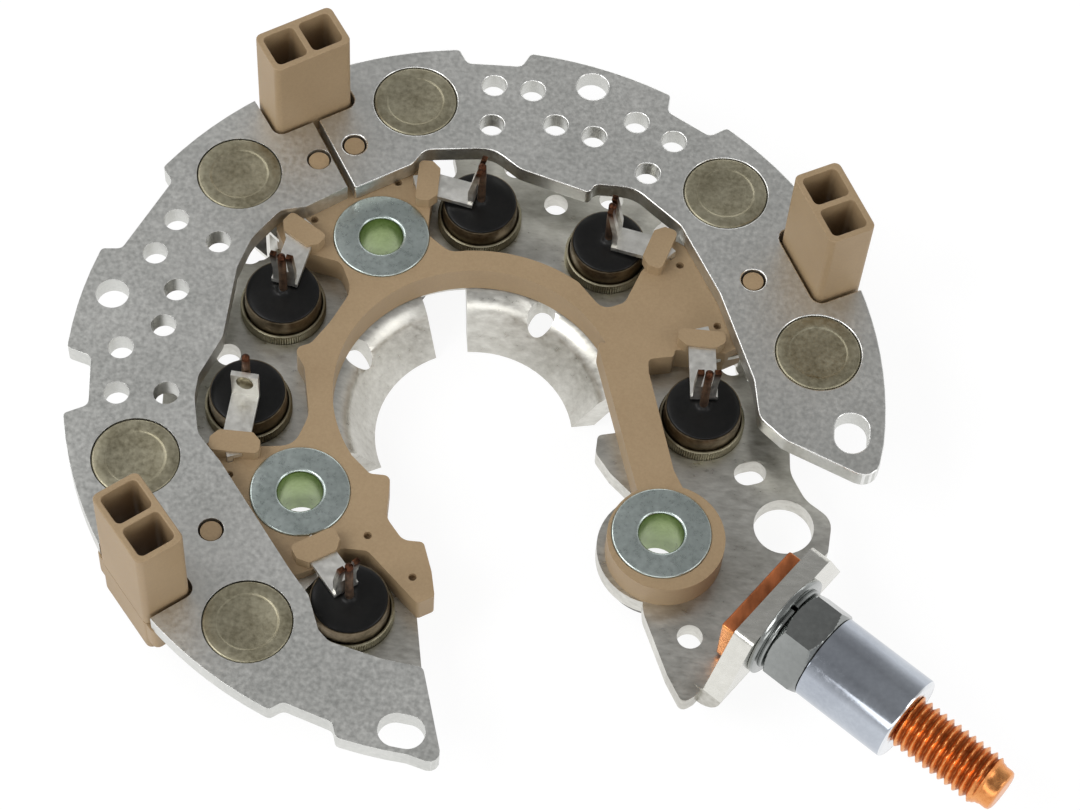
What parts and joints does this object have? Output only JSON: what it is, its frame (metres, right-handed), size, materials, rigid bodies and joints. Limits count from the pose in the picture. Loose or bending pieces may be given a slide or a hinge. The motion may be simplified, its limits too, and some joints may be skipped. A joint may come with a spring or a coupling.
{
  "type": "alternator rectifier",
  "caption": "Horseshoe rectifier: cooling fins in two levels with press-fit diodes, a moulded terminal block with wire guides, mounting eyelets and a threaded output stud.",
  "frame": {"origin": "on the alternator's shaft axis, at the level of the skirts' feet", "axes": "+Z along the shaft axis, from the skirts' feet to the wire guides' mouths; -Y out of the middle of the horseshoe's mouth, beside its left end; the output stud leaves 35.7 degrees from +X towards -Y"},
  "size_m": [0.139, 0.1199, 0.032],
  "materials": {
    "earth_fin": "rolled sheet, dull",
    "plus_fin": "plated sheet, satin",
    "moulding": "glass-filled moulding, matt",
    "diode_case": "nickel-plated copper, dull",
    "diode_resin": "cast resin, semi-gloss",
    "diode_lead": "oxidised copper wire",
    "phase_strip": "tinned strip, satin",
    "eyelet": "zinc-plated, satin",
    "insulator": "moulded washer, matt",
    "stud": "copper-plated, satin",
    "zinc_steel": "zinc-plated, satin"
  },
  "bodies": {
    "root": {"earth_fin_left": "earth_fin", "earth_fin_right": "earth_fin", "plus_fin": "plus_fin", "terminal_block": "moulding", "wire_guide_upper": "moulding", "wire_guide_right": "moulding", "wire_guide_left": "moulding", "earth_diode_case_1": "diode_case", "earth_diode_case_2": "diode_case", "earth_diode_case_3": "diode_case", "earth_diode_case_4": "diode_case", "earth_diode_case_5": "diode_case", "earth_diode_case_6": "diode_case", "earth_diode_resin_1": "diode_resin", "earth_diode_resin_2": "diode_resin", "earth_diode_resin_3": "diode_resin", "earth_diode_resin_4": "diode_resin", "earth_diode_resin_5": "diode_resin", "earth_diode_resin_6": "diode_resin", "earth_diode_lead_1": "diode_lead", "earth_diode_lead_2": "diode_lead", "earth_diode_lead_3": "diode_lead", "earth_diode_lead_4": "diode_lead", "earth_diode_lead_5": "diode_lead", "earth_diode_lead_6": "diode_lead", "plus_diode_case_1": "diode_case", "plus_diode_case_2": "diode_case", "plus_diode_case_3": "diode_case", "plus_diode_case_4": "diode_case", "plus_diode_case_5": "diode_case", "plus_diode_case_6": "diode_case", "plus_diode_resin_1": "diode_resin", "plus_diode_resin_2": "diode_resin", "plus_diode_resin_3": "diode_resin", "plus_diode_resin_4": "diode_resin", "plus_diode_resin_5": "diode_resin", "plus_diode_resin_6": "diode_resin", "plus_diode_lead_1": "diode_lead", "plus_diode_lead_2": "diode_lead", "plus_diode_lead_3": "diode_lead", "plus_diode_lead_4": "diode_lead", "plus_diode_lead_5": "diode_lead", "plus_diode_lead_6": "diode_lead", "phase_strip_1": "phase_strip", "phase_strip_2": "phase_strip", "phase_strip_3": "phase_strip", "phase_strip_4": "phase_strip", "phase_strip_5": "phase_strip", "phase_strip_6": "phase_strip", "eyelet_upper": "eyelet", "eyelet_left": "eyelet", "eyelet_output": "eyelet", "insulator_upper": "insulator", "insulator_left": "insulator", "insulator_output": "insulator", "output_stud": "stud", "stud_washer": "zinc_steel", "sleeve_nut": "zinc_steel"}
  },
  "joints": []
}
